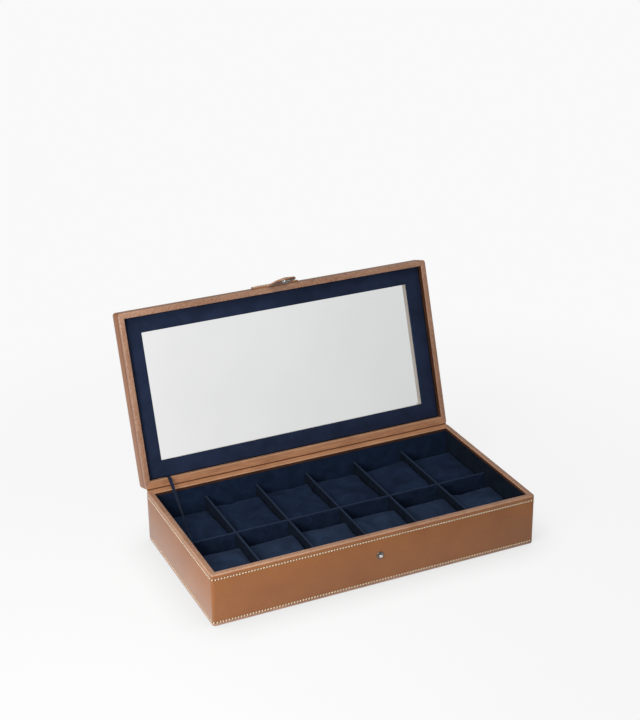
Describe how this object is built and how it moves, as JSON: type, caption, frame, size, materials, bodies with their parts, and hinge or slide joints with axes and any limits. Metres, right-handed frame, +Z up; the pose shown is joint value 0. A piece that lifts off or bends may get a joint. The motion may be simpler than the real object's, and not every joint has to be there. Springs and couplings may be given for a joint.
{
  "type": "lidded watch box",
  "caption": "Low leather-covered box for watches: hinged lid with a glass window, divided interior with a cushion in each place, snap strap at the front.",
  "frame": {"origin": "middle of the underside, where the box stands", "axes": "+X to the right along the front, +Y from the front to the hinge at the back, +Z up; stored with the lid open"},
  "size_m": [0.39, 0.2907, 0.2779],
  "materials": {
    "outer_leather": "smooth, satin",
    "strap_leather": "smooth, satin",
    "board": "raw fibreboard",
    "card": "raw",
    "lining_suede": "suede nap on card",
    "divider_suede": "suede nap on card",
    "panel_suede": "suede nap on card",
    "cushion_suede": "suede nap over foam",
    "underside_cloth": "matt",
    "ribbon": "woven, satin",
    "glass": "clear",
    "snap_metal": "polished plate"
  },
  "bodies": {
    "base": {"underside_sheet": "underside_cloth", "bottom_board": "board", "front_board": "board", "back_board": "board", "left_board": "board", "right_board": "board", "base_leather": "outer_leather", "spine_leather": "outer_leather", "hinge_strip": "outer_leather", "lining_front": "lining_suede", "lining_back": "lining_suede", "lining_left": "lining_suede", "lining_right": "lining_suede", "lining_floor": "lining_suede", "long_divider": "divider_suede", "cross_divider_1": "divider_suede", "cross_divider_2": "divider_suede", "cross_divider_3": "divider_suede", "cross_divider_4": "divider_suede", "cross_divider_5": "divider_suede", "snap_stud": "snap_metal", "stud_washer": "snap_metal", "ribbon_stay": "ribbon", "ribbon_tab": "ribbon"},
    "lid": {"lid_front_rail": "board", "lid_back_rail": "board", "lid_left_rail": "board", "lid_right_rail": "board", "lid_top_board": "board", "lid_leather": "outer_leather", "glass_pane": "glass", "glass_spacer": "card", "lid_inner_panel": "panel_suede", "strap_anchor": "strap_leather"},
    "strap": {"strap_tongue": "strap_leather", "snap_socket": "snap_metal", "snap_cap": "snap_metal"},
    "cushion_back_1": {"cushion_back_1": "cushion_suede"},
    "cushion_back_2": {"cushion_back_2": "cushion_suede"},
    "cushion_back_3": {"cushion_back_3": "cushion_suede"},
    "cushion_back_4": {"cushion_back_4": "cushion_suede"},
    "cushion_back_5": {"cushion_back_5": "cushion_suede"},
    "cushion_back_6": {"cushion_back_6": "cushion_suede"},
    "cushion_front_1": {"cushion_front_1": "cushion_suede"},
    "cushion_front_2": {"cushion_front_2": "cushion_suede"},
    "cushion_front_3": {"cushion_front_3": "cushion_suede"},
    "cushion_front_4": {"cushion_front_4": "cushion_suede"},
    "cushion_front_5": {"cushion_front_5": "cushion_suede"},
    "cushion_front_6": {"cushion_front_6": "cushion_suede"}
  },
  "joints": [
    {"name": "lid_hinge", "type": "hinge", "parent": "base", "child": "lid", "pos_m": [0, 0.101, 0.0624], "axis": [-1, 0, 0], "range_deg": [-108, 0], "deforming": ["hinge_strip", "spine_leather", "ribbon_stay"]},
    {"name": "strap_hinge", "type": "hinge", "parent": "lid", "child": "strap", "pos_m": [0, 0.16616, 0.25646], "axis": [-1, 0, 0], "range_deg": [-8, 90]},
    {"name": "cushion_back_1_lift", "type": "slide", "parent": "base", "child": "cushion_back_1", "axis": [0, 0, 1], "range_m": [0, 0.07]},
    {"name": "cushion_back_2_lift", "type": "slide", "parent": "base", "child": "cushion_back_2", "axis": [0, 0, 1], "range_m": [0, 0.07]},
    {"name": "cushion_back_3_lift", "type": "slide", "parent": "base", "child": "cushion_back_3", "axis": [0, 0, 1], "range_m": [0, 0.07]},
    {"name": "cushion_back_4_lift", "type": "slide", "parent": "base", "child": "cushion_back_4", "axis": [0, 0, 1], "range_m": [0, 0.07]},
    {"name": "cushion_back_5_lift", "type": "slide", "parent": "base", "child": "cushion_back_5", "axis": [0, 0, 1], "range_m": [0, 0.07]},
    {"name": "cushion_back_6_lift", "type": "slide", "parent": "base", "child": "cushion_back_6", "axis": [0, 0, 1], "range_m": [0, 0.07]},
    {"name": "cushion_front_1_lift", "type": "slide", "parent": "base", "child": "cushion_front_1", "axis": [0, 0, 1], "range_m": [0, 0.07]},
    {"name": "cushion_front_2_lift", "type": "slide", "parent": "base", "child": "cushion_front_2", "axis": [0, 0, 1], "range_m": [0, 0.07]},
    {"name": "cushion_front_3_lift", "type": "slide", "parent": "base", "child": "cushion_front_3", "axis": [0, 0, 1], "range_m": [0, 0.07]},
    {"name": "cushion_front_4_lift", "type": "slide", "parent": "base", "child": "cushion_front_4", "axis": [0, 0, 1], "range_m": [0, 0.07]},
    {"name": "cushion_front_5_lift", "type": "slide", "parent": "base", "child": "cushion_front_5", "axis": [0, 0, 1], "range_m": [0, 0.07]},
    {"name": "cushion_front_6_lift", "type": "slide", "parent": "base", "child": "cushion_front_6", "axis": [0, 0, 1], "range_m": [0, 0.07]}
  ]
}
